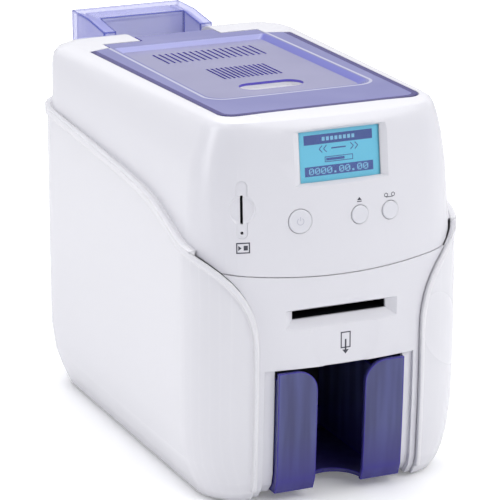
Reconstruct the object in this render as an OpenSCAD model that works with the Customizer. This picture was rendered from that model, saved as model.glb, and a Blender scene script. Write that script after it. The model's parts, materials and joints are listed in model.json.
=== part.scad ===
// Desktop ID card printer with a hinged see-through lid, a rear card hopper and a pull-out card tray.
// Millimetres. The origin is on the floor under the middle of the footprint. The front faces -Y.

/* [Body] */
// Width across the two side panels
body_w = 176; // [168:1:196]
// Depth of the casing, without the card hopper
body_d = 279.5; // [275:0.5:310]
// Height of the lid's front edge above the floor
body_h = 232; // [228:1:250]
// Height of the rubber feet
foot_h = 3; // [2:0.5:5]
// Wall of the moulded casing
wall = 2.5; // [2:0.1:3]
// Gap between casing parts
seam_gap = 0.4; // [0.3:0.05:0.6]
// Radius of the upright corners seen from above
corner_r = 32; // [24:1:38]
// Radius of the slightly bowed front seen from above
bow_r = 290; // [220:5:600]
// Height of the seam between the upper housing and the front cover
seam_z = 138; // [134:1:144]
// How far the side panels stand proud of the front
panel_proud = 1.2; // [0.6:0.1:2]
// How far the side panels' raised edge stands proud of them
lip_proud = 1.5; // [0.8:0.1:2.5]
// Width of the side panels' raised edge
lip_w = 4.5; // [3:0.5:7]
// Half width between the side panels' front edges
front_half_w = 52.4; // [50:0.2:56]
// How far the side panels turn in under and behind the body
panel_turn = 18; // [16:1:22]

/* [Lid] */
// Thickness of the lid
lid_t = 3; // [2.5:0.1:4]
// Set-back of the lid's front edge from the front
lid_front_y = 27.5; // [26:0.5:32]
// Length of the lid's straight sides
lid_len = 200; // [190:1:204]
// Lid width at the front
lid_w_front = 128; // [120:1:130]
// Lid width at the rear
lid_w_rear = 137; // [130:1:138]
// Slope of the lid and of the top of the body
lid_tilt = 1.2; // [0:0.1:2]
// Gap round the lid
lid_gap = 0.6; // [0.4:0.1:1]
// Depth of the lid's sunken middle
pan_depth = 2.6; // [1.5:0.1:3]
// Width of the finger hole
finger_hole_w = 41; // [34:1:46]
// Length of the finger hole along the lid
finger_hole_d = 18; // [14:1:22]
// Number of slots in the rear vent
rear_vents = 17; // [9:2:19]
// Number of slots in the front vent
front_vents = 13; // [7:2:13]

/* [Display and keys] */
// Sideways place of the display
lcd_x = 1.5; // [-4:0.5:4]
// Height of the display's centre
lcd_z = 208; // [206:0.5:209]
// Width of the display window
lcd_w = 47.6; // [40:0.4:52]
// Height of the display window
lcd_h = 28.4; // [24:0.4:29]
// Height of the row of keys
key_z = 172; // [168:0.5:176]
// Radius of the power key
power_r = 7; // [6:0.1:8]
// Radius of the two small keys
small_r = 5.4; // [4.5:0.1:6]
// Gap round each key
key_gap = 0.3; // [0.2:0.05:0.4]

/* [Card path] */
// Height of the card path above the floor
slot_z = 115; // [112:0.5:118]
// Width of the front card slot
slot_w = 60; // [56:1:64]
// Height of the front card slot
slot_h = 5.2; // [4.6:0.2:6]
// Radius of the rubber rollers
roller_r = 8; // [7.5:0.1:8.5]
// Radius of the roller shafts
shaft_r = 3; // [2.5:0.1:3.5]
// Radial clearance of a shaft in its bearing hole
run_gap = 0.06; // [0.03:0.01:0.09]
// Module of the gears
gear_m = 1; // [1]
// Teeth of a roller gear
roller_teeth = 24; // [24]
// Teeth of a motor pinion
pinion_teeth = 12; // [12]
// Place of the first roller behind the front
first_roller_y = 60; // [58:1:62]

/* [Card tray] */
// Width of the card tray
tray_w = 81; // [76:1:84]
// Height of the tray opening above the floor
tray_top = 83; // [78:1:88]
// Length of the card tray
tray_len = 96; // [90:1:100]
// Wall of the clear plastic parts
clear_wall = 2.5; // [2:0.1:3]

/* [Card hopper] */
// Width of the card hopper
hopper_w = 76; // [74:1:80]
// How far the card hopper stands out behind the body
hopper_out = 58.5; // [50:0.5:70]
// Width of the card bay
bay_w = 59; // [57:0.5:60]
// Height of the hopper's top above the floor
hopper_top = 229; // [224:1:236]

/* [Hidden] */
$fn = 48;

white = [0.91, 0.91, 0.93];
violet = [0.45, 0.45, 0.78, 0.8];
black = [0.06, 0.06, 0.08];
steel = [0.7, 0.71, 0.73];

total_d = body_d + hopper_out;
pick_rear = 19.5;
idler_teeth = round((body_d - pick_rear - first_roller_y) / 4 / gear_m) - roller_teeth;
roller_pitch = gear_m * (roller_teeth + idler_teeth);
base_half = body_w / 2 - panel_proud;
panel_in_x = body_w / 2 - panel_turn;
wrap_y = 26;
tuck = 4;
corner_steps = 7;
bow_steps = 8;
over = 60;
eps = 0.01;

// Set-back of the front face at height z: it leans back above the card slot and a little below it
lean_k = 0.0048;
lean_power = 1.6;
lean_below = 0.00035;
function lean(z) = z > slot_z ? lean_k * pow(z - slot_z, lean_power) : lean_below * pow(slot_z - z, 2);
function lean_angle(z) =
    z > slot_z ? atan(lean_k * lean_power * pow(z - slot_z, lean_power - 1)) : -atan(2 * lean_below * (slot_z - z));

// Levels of the lower body: height, side inset, extra set-back in front, inset behind, corner radius
lower_levels = [
    [foot_h, 12, 6, 8, corner_r - 6],
    [foot_h + 6, 9.4, 1.5, 5, corner_r - 4],
    [foot_h + 13, 6.5, 0, 3, corner_r - 2],
    [foot_h + 24, 2.6, 0, 1, corner_r],
    [foot_h + 42, 0.4, 0, 0, corner_r],
    [foot_h + 67, 0, 0, 0, corner_r],
    [slot_z + 9, 0, 0, 0, corner_r],
    [seam_z + 22, 0, 0, 0, corner_r],
    [seam_z + 57, 0.2, 0, 0, corner_r]
];

// Levels of the upper housing: height, front inset, rear inset, set-back in front, inset behind, radius, tilt.
// The last one lies a little above the flat top, which is cut square to the lid
top_over = 0.2;
upper_levels = [
    [slot_z - 15, 2.6, 1.9, 0, 1.9, corner_r, 0],
    [body_h - 72, 3.2, 1.9, 0, 1.9, corner_r, 0],
    [body_h - 42, 4.8, 1.9, 0, 1.9, corner_r - 1, 0.4],
    [body_h - 24, 7.2, 2.4, 0, 2, corner_r - 2, 0.75],
    [body_h - 13, 10.2, 3, 0, 2.5, corner_r - 4, 1],
    [body_h - 6, 12.6, 4.2, 0.6, 4, corner_r - 6, 1],
    [body_h - 2.4, 14.6, 6.4, 2.6, 7, corner_r - 8, 1],
    [body_h - 0.7, 17.2, 10.6, 6.5, 11, corner_r - 11, 1],
    [body_h + top_over, 21.1, 17, 17.4, 18.7, corner_r - 16, 1]
];

function arc(cx, cy, r, a0, a1, n) =
    [for (i = [0:n]) [cx + r * cos(a0 + (a1 - a0) * i / n), cy + r * sin(a0 + (a1 - a0) * i / n)]];

function bow_angle(half, r) = asin((half - r) / (bow_r - r));

// Outline of the body seen from above: round corners, a straight back and a bowed front
function outline(half_f, half_r, y_f, y_r, r) =
    let (b = bow_angle(half_f, r), cy = y_f + bow_r - (bow_r - r) * cos(b))
    concat(
        arc(half_r - r, y_r - r, r, 0, 90, corner_steps),
        arc(-half_r + r, y_r - r, r, 90, 180, corner_steps),
        arc(-half_f + r, cy, r, 180, 270 - b, corner_steps),
        [for (i = [1:bow_steps - 1]) let (a = 270 - b + 2 * b * i / bow_steps)
            [bow_r * cos(a), y_f + bow_r + bow_r * sin(a)]],
        arc(half_f - r, cy, r, 270 + b, 360, corner_steps)
    );

// Cubic curve through two end points, steered by two more
function bend(a, b, c, d, n) =
    [for (i = [0:n]) let (t = i / n, s = 1 - t)
        s * s * s * a + 3 * s * s * t * b + 3 * s * t * t * c + t * t * t * d];

// The side panels' upper edge: seen from the side (y, z) in two curves, and on the front (x, z)
edge_mid = [88, seam_z + 37];
side_edge = concat(
    bend([wrap_y, seam_z + 17.2], [46, seam_z + 22.5], [68, seam_z + 33.5], edge_mid, 7),
    [for (i = [1:8]) bend(edge_mid, [113, seam_z + 41.6], [190, seam_z + 46], [body_d + 8, seam_z + 52], 8)[i]]
);
front_edge = concat(
    bend([front_half_w, slot_z - 17], [front_half_w, slot_z + 7], [front_half_w + 9.6, seam_z],
        [body_w / 2 - 3.5, seam_z + 15.8], 10),
    [[body_w / 2 + 4, seam_z + 18.8]]
);

function shift(points, dx, dz) = [for (p = points) [p[0] + dx, p[1] + dz]];

// Set-back and turn of the bowed front face at a sideways place x
bow_half = base_half - 3.6;
bow_end = bow_angle(bow_half, corner_r);
function bow_y(x) = abs(x) <= bow_r * sin(bow_end)
    ? bow_r - sqrt(bow_r * bow_r - x * x)
    : bow_r - (bow_r - corner_r) * cos(bow_end) - sqrt(corner_r * corner_r - pow(abs(x) - bow_half + corner_r, 2));
function bow_turn(x) = sign(x) *
    (abs(x) <= bow_r * sin(bow_end) ? asin(abs(x) / bow_r) : asin((abs(x) - bow_half + corner_r) / corner_r));

module place() {
    translate([0, -total_d / 2, 0]) children();
}

module block(low, high) {
    translate(low) cube(high - low);
}

module mirrored() {
    children();
    mirror([1, 0, 0]) children();
}

// Extrudes a (y, z) outline along X from x0 to x1
module along_x(x0, x1) {
    translate([x0, 0, 0]) rotate([90, 0, 90]) linear_extrude(x1 - x0) children();
}

// Extrudes an (x, z) outline along Y from y0 to y1
module along_y(y0, y1) {
    translate([0, y1, 0]) rotate([90, 0, 0]) linear_extrude(y1 - y0) children();
}

// A shaft, roller or hole that lies across the machine
module across(r, x0, x1, y, z) {
    translate([x0, y, z]) rotate([0, 90, 0]) cylinder(r = r, h = x1 - x0);
}

// One level of the body as a ring of points in space, tilted about the line of the lid's front edge
function ring(points, z, tilt) =
    [for (p = points) [p[0], lid_front_y + (p[1] - lid_front_y) * cos(tilt), z - (p[1] - lid_front_y) * sin(tilt)]];

function lower_ring(level, inset) =
    let (half = base_half - level[1] - inset)
    ring(outline(half, half, lean(level[0]) + level[2] + inset, body_d - level[3] - inset, level[4] - inset),
        level[0] + inset, 0);

function upper_ring(level, inset) =
    ring(outline(base_half - level[1] - inset, base_half - level[2] - inset, lean(level[0]) + level[3] + inset,
        body_d - level[4] - inset, level[5] - inset), level[0] - inset, lid_tilt * level[6]);

// The solid between two rings. With a heart it also reaches a little way up inside the band above it
function heart(points) =
    let (centre = [for (p = points) 1] * points / len(points))
    [for (p = points) centre + 0.8 * (p - centre) + [0, 0, 0.2]];

module band(low, high, top) {
    n = len(low);
    hull() polyhedron(concat(low, high, top),
        [[for (i = [n - 1:-1:0]) i], [for (i = [0:n - 1]) n + i], [for (i = [0:n - 1]) 2 * n + i]]);
}

module lower_form(inset) {
    last = len(lower_levels) - 1;
    for (i = [0:last - 1]) {
        high = lower_ring(lower_levels[i + 1], inset);
        band(lower_ring(lower_levels[i], inset), high, i + 1 < last ? heart(high) : high);
    }
}

module upper_form(inset) {
    last = len(upper_levels) - 1;
    for (i = [0:last - 1]) {
        high = upper_ring(upper_levels[i + 1], inset);
        band(upper_ring(upper_levels[i], inset), high, i + 1 < last ? heart(high) : high);
    }
}

// Everything on one side below the side panel's edge; drop moves the edge down and outwards
module side_zone(drop) {
    along_x(panel_in_x, body_w)
        polygon(concat(shift(side_edge, 0, -drop), [[body_d + over, -over], [wrap_y, -over]]));
}

module front_zone(drop) {
    along_y(-over, wrap_y + eps)
        polygon(concat([[front_half_w + drop, -over]], shift(front_edge, drop, -drop), [[body_w, -over]]));
}

module below_seam(gap) {
    seam_rise = 0.0011;
    along_y(-over, wrap_y + 20)
        polygon(concat([for (x = [-100:10:100]) [x, seam_z + seam_rise * x * x + gap]], [[100, -over], [-100, -over]]));
}

// Places a piece on the front face, its own +Y pointing into the machine
module on_front(x, z) {
    translate([x, lean(z) + bow_y(x), z])
        rotate([-lean_angle(z), 0, bow_turn(x)])
            children();
}

// Places a piece on the lid: +Y runs back along the lid, +Z is square to it, zero at its front edge
module on_lid() {
    translate([0, lid_front_y, body_h]) rotate([-lid_tilt, 0, 0]) children();
}

// ---------- casing ----------

base_t = 2.5;
base_front = 36;
base_top = foot_h + base_t;
frame_x = 50;
frame_t = 2;

module base_tray() {
    half = panel_in_x - seam_gap;
    inner = base_half - lower_levels[0][1] - wall - seam_gap;
    color(white) place() {
        translate([0, 0, foot_h]) linear_extrude(base_t) intersection() {
            polygon(outline(inner, inner, base_front, body_d - lower_levels[0][3] - wall - seam_gap, corner_r - 10));
            translate([-half, 0]) square([2 * half, body_d]);
        }
        mirrored() for (y = [foot_front_y, foot_rear_y])
            translate([foot_x, y, base_top - eps]) cylinder(r = 4, h = 3);
    }
}

foot_r = 8;
foot_x = panel_in_x - foot_r - 4;
foot_front_y = 52;
foot_rear_y = body_d - 29.5;

module rubber_feet() {
    color(black) place()
        mirrored() for (y = [foot_front_y, foot_rear_y])
            translate([foot_x, y, 0]) {
                cylinder(r1 = foot_r - 1, r2 = foot_r, h = foot_h / 2);
                translate([0, 0, foot_h / 2]) cylinder(r = foot_r, h = foot_h / 2);
            }
}

module side_panel() {
    color(white) place() {
        intersection() {
            difference() {
                lower_form(-panel_proud);
                lower_form(-panel_proud + wall);
            }
            union() {
                side_zone(0);
                front_zone(0);
            }
        }
        intersection() {
            difference() {
                lower_form(-panel_proud - lip_proud);
                lower_form(-panel_proud + wall);
            }
            difference() {
                union() {
                    side_zone(0);
                    front_zone(0);
                }
                side_zone(lip_w);
                front_zone(lip_w * 0.55);
                block([0, -over, -over], [body_w, body_d + over, foot_h + 6]);
            }
        }
    }
}

module right_side_panel() side_panel();

module left_side_panel() mirror([1, 0, 0]) side_panel();

// Front cover: card slot, thumb dimple and tray opening
recess_half_w = 39.5;
recess_low = 9.5;
recess_high = 5.5;
recess_depth = 6.6;
thumb_r = 26.6;
thumb_top = 12.3;
tray_gap = 0.7;
opening_half = tray_w / 2 + tray_gap;
shelf_half = 48;
shelf_depth = 2;
boss_end = 20;
cover_depth = 36;

module slot_mouth() {
    hull() {
        translate([-recess_half_w, -1, slot_z - recess_low]) cube([2 * recess_half_w, 1, recess_low + recess_high]);
        translate([-slot_w / 2, recess_depth, slot_z - slot_h / 2]) cube([slot_w, eps, slot_h]);
    }
}

// What stands inside the front cover: the slot's funnel and the sunken surround of the tray
module cover_bosses() {
    block([-recess_half_w - 2, -3, slot_z - recess_low - 2], [recess_half_w + 2, recess_depth + 1.5, slot_z + recess_high + 2]);
    intersection() {
        block([-shelf_half - 2, -3, -3], [shelf_half + 2, boss_end, tray_top + 3]);
        difference() {
            lower_form(-3);
            lower_form(wall + shelf_depth);
        }
    }
}

module front_cover() {
    color(white) place() difference() {
        lower_form(0);
        difference() {
            lower_form(wall);
            cover_bosses();
        }
        block([-body_w, cover_depth, -over], [body_w, body_d + over, body_h]);
        mirrored() {
            side_zone(-seam_gap);
            front_zone(-seam_gap);
        }
        difference() {
            block([-body_w, -over, 0], [body_w, body_d, body_h]);
            below_seam(0);
        }
        slot_mouth();
        block([-slot_w / 2, 0, slot_z - slot_h / 2], [slot_w / 2, over, slot_z + slot_h / 2]);
        translate([2, -1, slot_z + thumb_top - thumb_r]) rotate([-90, 0, 0])
            cylinder(r1 = thumb_r, r2 = thumb_r - 6, h = 3);
        intersection() {
            block([-shelf_half, -over, -over], [shelf_half, over, tray_top + 0.5]);
            difference() {
                block([-body_w, -over, -over], [body_w, over, body_h]);
                lower_form(shelf_depth);
            }
        }
        block([-opening_half, -over, -over], [opening_half, over, tray_top]);
    }
}

rear_x = panel_in_x - seam_gap;
bay_half = bay_w / 2;
hopper_wall = 1.2;
hopper_slot_half = bay_half + hopper_wall + 0.5;
bay_floor = slot_z - 1;
hopper_bottom = bay_floor - 3;
inlet_x = -41;
inlet_z = 42;
usb_x = -14;

module vent_row(count, pitch, width, height, y) {
    for (i = [0:count - 1])
        translate([(i - (count - 1) / 2) * pitch - width / 2, y, 0]) cube([width, over, height]);
}

module rear_panel() {
    color(white) place() difference() {
        intersection() {
            difference() {
                lower_form(0);
                lower_form(wall);
            }
            block([-rear_x, body_d - 14, 0], [rear_x, body_d + over, rear_top_z]);
        }
        block([-hopper_slot_half, body_d - over, hopper_bottom - 0.5], [hopper_slot_half, body_d + over, body_h]);
        block([inlet_x - 5, body_d - over, inlet_z - 5], [inlet_x + 5, body_d + over, inlet_z + 5]);
        block([usb_x - 6.5, body_d - over, inlet_z - 6], [usb_x + 6.5, body_d + over, inlet_z + 6]);
        translate([34, 0, foot_h + 27]) vent_row(9, 5, 2.4, 34, body_d - over / 2);
        mirrored() for (z = [foot_h + 70, rear_top_z - 12])
            translate([screw_x, body_d - over, z]) rotate([-90, 0, 0]) cylinder(r = 1.7, h = 2 * over);
        block([-rear_x, body_d - 40, 0], [rear_x, body_d - lower_levels[0][3] - wall, foot_h + base_t + seam_gap]);
    }
}

rear_top_z = seam_z + 50.5;
screw_x = rear_x - 9.6;

module case_screws() {
    color(steel) place() mirrored() for (z = [foot_h + 70, rear_top_z - 12])
        translate([screw_x, body_d + 0.1, z]) rotate([90, 0, 0]) difference() {
            union() {
                cylinder(r = 1.6, h = 9);
                translate([0, 0, -1.6]) cylinder(r = 2.9, h = 1.6);
            }
            translate([0, 0, -2]) cylinder(r = 1.2, h = 1.2, $fn = 6);
        }
}

// Upper housing: skin, lid seat, display recess, keys, chip slot and hopper notch
seat_w = 4;
seat_t = 3.5;
notch_half = 28;
tongue_half = 26.8;
rear_shelf = 13.5;
shelf_gap = 1.7;
step_x = 53;
step_v = 3.3;
tongue_len = 27;
hinge_v = lid_len + 7;
hinge_w = -4.2;
pin_r = 1.5;
ear_x = step_x + 0.2;
ear_t = 5;
chip_x = 26.8 - base_half;
chip_z = 181;

// Lid outline seen square to it, with grow as its offset: rounded in front, stepped behind for the hinges
function half_lid(grow) = [
    [lid_w_rear / 2 + grow, lid_len - 3 + grow], [step_x + grow, lid_len + step_v + grow],
    [step_x + grow, lid_len + rear_shelf + grow]
];

module lid_outline(grow, with_tongue) {
    r = 10 + grow;
    cx = lid_w_front / 2 + grow - r;
    right = half_lid(grow);
    tongue = with_tongue ? [[tongue_half + grow, right[2][1]], [tongue_half + grow, lid_len + tongue_len + grow]] : [];
    side = concat(right, tongue);
    polygon(concat(
        arc(-cx, r - grow, r, 180, 270, 6),
        arc(cx, r - grow, r, 270, 360, 6),
        side,
        [for (i = [len(side) - 1:-1:0]) [-side[i][0], side[i][1]]]
    ));
}

lcd_recess_w = 66;
lcd_recess_h = 33.5;
lcd_depth = 3.5;

module key_hole(x, r) {
    on_front(x, key_z) rotate([-90, 0, 0]) translate([0, 0, -5]) cylinder(r = r + key_gap, h = 14, $fn = 48);
}

power_x = -26.1;
eject_x = 11.4;
ribbon_x = 31.6;

// What stands inside the housing: the lid's seat, the display's frame and the hinge ears
module housing_bosses() {
    on_lid() difference() {
        translate([0, 0, -lid_t - seat_t]) linear_extrude(lid_t + seat_t) lid_outline(seat_w - 1.5, false);
        translate([0, 0, -over]) linear_extrude(2 * over) lid_outline(-seat_w, false);
        block([-body_w, lid_len - 16, -over], [body_w, lid_len + over, over]);
    }
    on_front(lcd_x, lcd_z)
        block([-lcd_recess_w / 2 + 3, -3, -lcd_recess_h / 2 - 1.5], [lcd_recess_w / 2 - 3, lcd_depth, lcd_recess_h / 2 - 1]);
    mirrored() on_lid() block([ear_x, hinge_v - 4, hinge_w - 4.5], [ear_x + ear_t, hinge_v + 4.5, 0]);
}

module upper_housing() {
    color(white) place() difference() {
        upper_form(0);
        on_lid() block([-body_w, -over, 0], [body_w, body_d + over, over]);
        difference() {
            upper_form(wall);
            housing_bosses();
        }
        on_lid() translate([0, 0, -lid_t]) linear_extrude(over) lid_outline(lid_gap, true);
        on_lid() block([-step_x - 0.1, lid_len - 16, -over / 2], [step_x + 0.1, lid_len + rear_shelf + shelf_gap, over]);
        on_lid() block([-notch_half, lid_len, -over], [notch_half, body_d, over]);
        block([-notch_half - 3.4, body_d - 12, 0], [notch_half + 3.4, body_d + over, body_h - 14]);
        mirrored() on_lid() across(pin_r + run_gap, ear_x - 2, ear_x + ear_t - 1, hinge_v, hinge_w);
        hull() on_front(lcd_x, lcd_z) {
            block([-lcd_recess_w / 2, -1, -lcd_recess_h / 2], [lcd_recess_w / 2, 0, lcd_recess_h / 2]);
            block([-lcd_w / 2, lcd_depth, -lcd_h / 2], [lcd_w / 2, lcd_depth + 1, lcd_h / 2]);
        }
        on_front(lcd_x, lcd_z)
            block([-lcd_w / 2 - 3.3, lcd_depth + 0.2, -lcd_h / 2 - 1.8], [lcd_w / 2 + 3.3, lcd_depth + 9, lcd_h / 2 + 1.8]);
        key_hole(power_x, power_r);
        key_hole(eject_x, small_r);
        key_hole(ribbon_x, small_r);
        on_front(chip_x, chip_z) rotate([-90, 0, 0]) {
            translate([0, 0, -3]) cylinder(r1 = 12, r2 = 7, h = 4.6);
            hull() for (z = [-13.4, 13.6]) translate([0, z, -5]) cylinder(r = 3.2, h = 5.8, $fn = 32);
            translate([-0.8, -8.4, -5]) cube([1.6, 16.6, 20]);
            translate([0, 13.4, -5]) cylinder(r = 0.9, h = 20, $fn = 16);
        }
        mirrored() {
            side_zone(tuck);
            front_zone(-seam_gap);
        }
        below_seam(seam_gap);
        block([-rear_x - seam_gap, body_d - over, 0], [rear_x + seam_gap, body_d + over, rear_top_z + seam_gap]);
        block([-base_half + 20, 40, 0], [base_half - 20, body_d - 30, seam_z]);
    }
}

// ---------- lid ----------

pan_half = 53.5;
pan_front = 41;
pan_rear = lid_len + 2;
pan_slope = 5.5;
pan_floor = 1.5;
hole_v = 75;
rear_vent_v = 155;
rear_vent_len = 27;
rear_vent_pitch = 4.1;
front_vent_v = 100;
front_vent_len = 30;
front_vent_pitch = 3.1;
vent_slit = 1.5;
lug_w = 5;

module pan_cut(half, v0, v1) {
    r = 12;
    hull() {
        for (x = [-half + r, half - r]) translate([x, v0 + r]) circle(r = r);
        for (x = [-half + 3, half - 3]) translate([x, v1 - 3]) circle(r = 3);
    }
}

// Bevel under the lid's slanted rear edges, which lets them turn past the housing
bevel_land = 0.3;

module rear_bevel() {
    edge = half_lid(0);
    run = edge[1] - edge[0];
    intersection() {
        translate([edge[1][0], edge[1][1], -bevel_land]) rotate([0, 0, atan2(run[1], run[0])]) rotate([-45, 0, 0])
            block([-2 * norm(run), -10, -10], [norm(run), 10, 0]);
        block([step_x, lid_len - 14, -over], [body_w, lid_len + over, over]);
    }
}

module top_lid() {
    color(violet) place() on_lid() difference() {
        union() {
            translate([0, 0, -lid_t]) linear_extrude(lid_t) lid_outline(0, true);
            translate([0, 0, -pan_depth - pan_floor]) linear_extrude(pan_depth + pan_floor - eps)
                pan_cut(pan_half - 2, pan_front + 2, pan_rear - 2);
            mirrored() {
                across(3.2, ear_x - lug_w - 0.6, ear_x - 0.6, hinge_v, hinge_w);
                block([ear_x - lug_w - 0.6, hinge_v - 3.2, hinge_w], [ear_x - 0.6, hinge_v + 3.2, -lid_t + 0.5]);
            }
        }
        hull() {
            translate([0, 0, 1]) linear_extrude(eps) pan_cut(pan_half, pan_front, pan_rear);
            translate([0, 0, -pan_depth]) linear_extrude(eps)
                pan_cut(pan_half - pan_slope, pan_front + pan_slope, pan_rear - pan_slope);
        }
        translate([0, hole_v, -over]) linear_extrude(2 * over) hull()
            for (x = [-1, 1]) translate([x * (finger_hole_w - finger_hole_d) / 2, 0]) circle(r = finger_hole_d / 2);
        translate([0, 0, -over / 2]) {
            for (i = [0:rear_vents - 1])
                translate([(i - (rear_vents - 1) / 2) * rear_vent_pitch - vent_slit / 2, rear_vent_v, 0])
                    cube([vent_slit, rear_vent_len, over]);
            for (i = [0:front_vents - 1])
                translate([(i - (front_vents - 1) / 2) * front_vent_pitch - vent_slit / 2, front_vent_v, 0])
                    cube([vent_slit, front_vent_len, over]);
        }
        mirrored() {
            across(pin_r + run_gap, ear_x - lug_w - 2, ear_x, hinge_v, hinge_w);
            rear_bevel();
        }
    }
}

module lid_hinge_pins() {
    color(steel) place() on_lid() mirrored()
        across(pin_r, ear_x - lug_w, ear_x + ear_t - 1.2, hinge_v, hinge_w);
}

// ---------- hopper ----------

hopper_arm_y = body_d + 0.6;
hopper_back = total_d;
hopper_rim = 28;
bay_front = roller_y(3) + roller_r + 2;
bay_back = hopper_back - 31;
window_half = 20;
card_gate = 1.3;

module hopper_side() {
    half = hopper_w / 2;
    slope = 3.5;
    difference() {
        along_x(bay_half, half)
            polygon([
                [hopper_arm_y, hopper_bottom], [hopper_back, hopper_bottom], [hopper_back, hopper_top],
                [hopper_back - hopper_rim, hopper_top], [hopper_arm_y, hopper_top - slope]
            ]);
        along_x(bay_half + 1.6, half - clear_wall)
            polygon([
                [hopper_arm_y + 2, hopper_bottom - 1], [hopper_back - clear_wall, hopper_bottom - 1],
                [hopper_back - clear_wall, hopper_top - clear_wall], [hopper_back - hopper_rim, hopper_top - clear_wall],
                [hopper_arm_y + 2, hopper_top - slope - clear_wall]
            ]);
    }
}

module input_hopper() {
    color(violet) place() {
        mirrored() hopper_side();
        difference() {
            block([-bay_half - eps, bay_back, hopper_bottom], [bay_half + eps, hopper_back, hopper_top]);
            block([-bay_half - 1, bay_back + 1.6, hopper_bottom - 1],
                [bay_half + 1, hopper_back - clear_wall, hopper_top - clear_wall]);
        }
        difference() {
            union() {
                block([-bay_half - hopper_wall, bay_front, hopper_bottom], [bay_half + hopper_wall, hopper_arm_y + 4, bay_floor]);
                block([-bay_half, hopper_arm_y, hopper_bottom], [bay_half, bay_back + 1, bay_floor]);
                mirrored() block([bay_half, bay_front, hopper_bottom], [bay_half + hopper_wall, hopper_arm_y + 1, bay_wall_top]);
                block([-bay_half - eps, bay_front - hopper_wall, bay_floor + card_gate], [bay_half + eps, bay_front, bay_wall_top]);
                mirrored() block([bay_half, bay_front - hopper_wall, hopper_bottom],
                    [bay_half + hopper_wall, bay_front + eps, bay_wall_top]);
            }
            block([-window_half, roller_y(4) - roller_r - 1.5, 0], [window_half, roller_y(4) + roller_r + 1.5, bay_floor + 1]);
        }
    }
}

bay_wall_top = body_h - 20;

// ---------- display and keys ----------

module lcd_window() {
    color([0.35, 0.75, 0.9, 0.5]) place() on_front(lcd_x, lcd_z)
        block([-lcd_w / 2 - 3, lcd_depth + 0.3, -lcd_h / 2 - 1.5], [lcd_w / 2 + 3, lcd_depth + 1.3, lcd_h / 2 + 1.5]);
}

module lcd_module() {
    color([0.3, 0.7, 0.85]) place() on_front(lcd_x, lcd_z) {
        block([-lcd_w / 2 - 2.5, lcd_depth + 1.6, -lcd_h / 2 - 1.5], [lcd_w / 2 + 2.5, lcd_depth + 5, lcd_h / 2 + 1.5]);
        block([-lcd_w / 2 - 6, lcd_depth + 5 - eps, -lcd_h / 2 - 4], [lcd_w / 2 + 6, lcd_depth + 6.6, lcd_h / 2 + 0.5]);
    }
}

key_proud = 0.7;
key_len = 5.6;
key_travel = 1.2;
flange_y = wall + 0.75;
press_gap = 0.4;

module key(x, r) {
    color(white) place() on_front(x, key_z) rotate([-90, 0, 0]) {
        translate([0, 0, -key_proud]) cylinder(r1 = r - 0.5, r2 = r, h = 0.5);
        translate([0, 0, -key_proud + 0.5]) cylinder(r = r, h = flange_y + key_proud - 0.5);
        translate([0, 0, flange_y]) cylinder(r = r + 1.3, h = 1);
        translate([0, 0, flange_y + 1]) cylinder(r = 2.2, h = key_len - flange_y - 1);
    }
}

module power_button() key(power_x, power_r);

module eject_button() key(eject_x, small_r);

module ribbon_button() key(ribbon_x, small_r);

board_y = 10;

module switch_board() {
    color([0.1, 0.35, 0.2]) place() translate([0, lean(key_z), key_z]) rotate([-lean_angle(key_z), 0, 0]) {
        block([-40, board_y, -10], [46, board_y + 1.6, 10]);
        for (x = [power_x, eject_x, ribbon_x])
            translate([x, board_y + eps, 0]) rotate([90, 0, 0])
                cylinder(r = 1.7, h = board_y - bow_y(x) - key_len - key_travel - press_gap);
        for (x = [-37.6, 43])
            translate([x, board_y + eps, 0]) rotate([90, 0, 0]) cylinder(r = 1.8, h = board_y - bow_y(x) - wall - 0.6);
    }
}

module chip_reader() {
    color(black) place() on_front(chip_x, chip_z) difference() {
        block([-5, wall + 1.1, -12], [5, wall + 7, 11]);
        block([-1, wall, -8.4], [1, wall + 6, 8.6]);
        block([-1.2, wall, -15], [1.2, wall + 8, -11]);
    }
}

module card_slot_guide() {
    half = slot_w / 2;
    y0 = recess_depth + 1.8;
    lip = 2.2;
    color(black) place() difference() {
        block([-half - lip, y0, slot_z - slot_h / 2 - lip], [half + lip, first_roller_y - roller_r - 3, slot_z + slot_h / 2 + lip]);
        block([-half, y0 - 1, slot_z - slot_h / 2], [half, first_roller_y, slot_z + slot_h / 2]);
    }
}

// ---------- card tray ----------

wing_inner = 15.5;
wing_round = 13;
tray_floor = base_top + 0.5;
wing_top = tray_top - 1;
tray_back = 4 + tray_len;
guide_half = 33;

// Side view of the front face between two heights, a behind it
function front_line(a, z0, z1) =
    [for (i = [0:10]) let (z = z0 + (z1 - z0) * i / 10, t = max(foot_h + 10 - z, 0)) [lean(z) + 0.05 * t * t + a, z]];

module front_strip(a, b, z0, z1) {
    back = front_line(b, z0, z1);
    polygon(concat(front_line(a, z0, z1), [for (i = [10:-1:0]) back[i]]));
}

module output_tray() {
    half = tray_w / 2;
    color(violet) place() {
        mirrored() {
            intersection() {
                along_x(0, half) front_strip(0.8, 0.8 + clear_wall, tray_floor, wing_top);
                along_y(-over, over)
                    polygon(concat(
                        [[wing_inner, 0], [half, 0], [half, wing_top]],
                        arc(wing_inner + wing_round, wing_top - wing_round, wing_round, 90, 180, 8)
                    ));
            }
            along_x(half - clear_wall, half)
                polygon(concat(front_line(2, tray_floor, wing_top - 4), [[tray_back, wing_top - 4], [tray_back, tray_floor]]));
            along_x(guide_half - 1.5, guide_half)
                polygon(concat(front_line(2, tray_floor, wing_top - 12), [[tray_back, wing_top - 12], [tray_back, tray_floor]]));
        }
        difference() {
            block([-half + eps, 10, tray_floor], [half - eps, tray_back, tray_floor + clear_wall]);
            translate([0, 10, 0]) cylinder(r = 17, h = over);
        }
        block([-half + eps, tray_back - clear_wall, tray_floor], [half - eps, tray_back, tray_floor + 14]);
    }
}

chute_t = 1.6;

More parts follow.
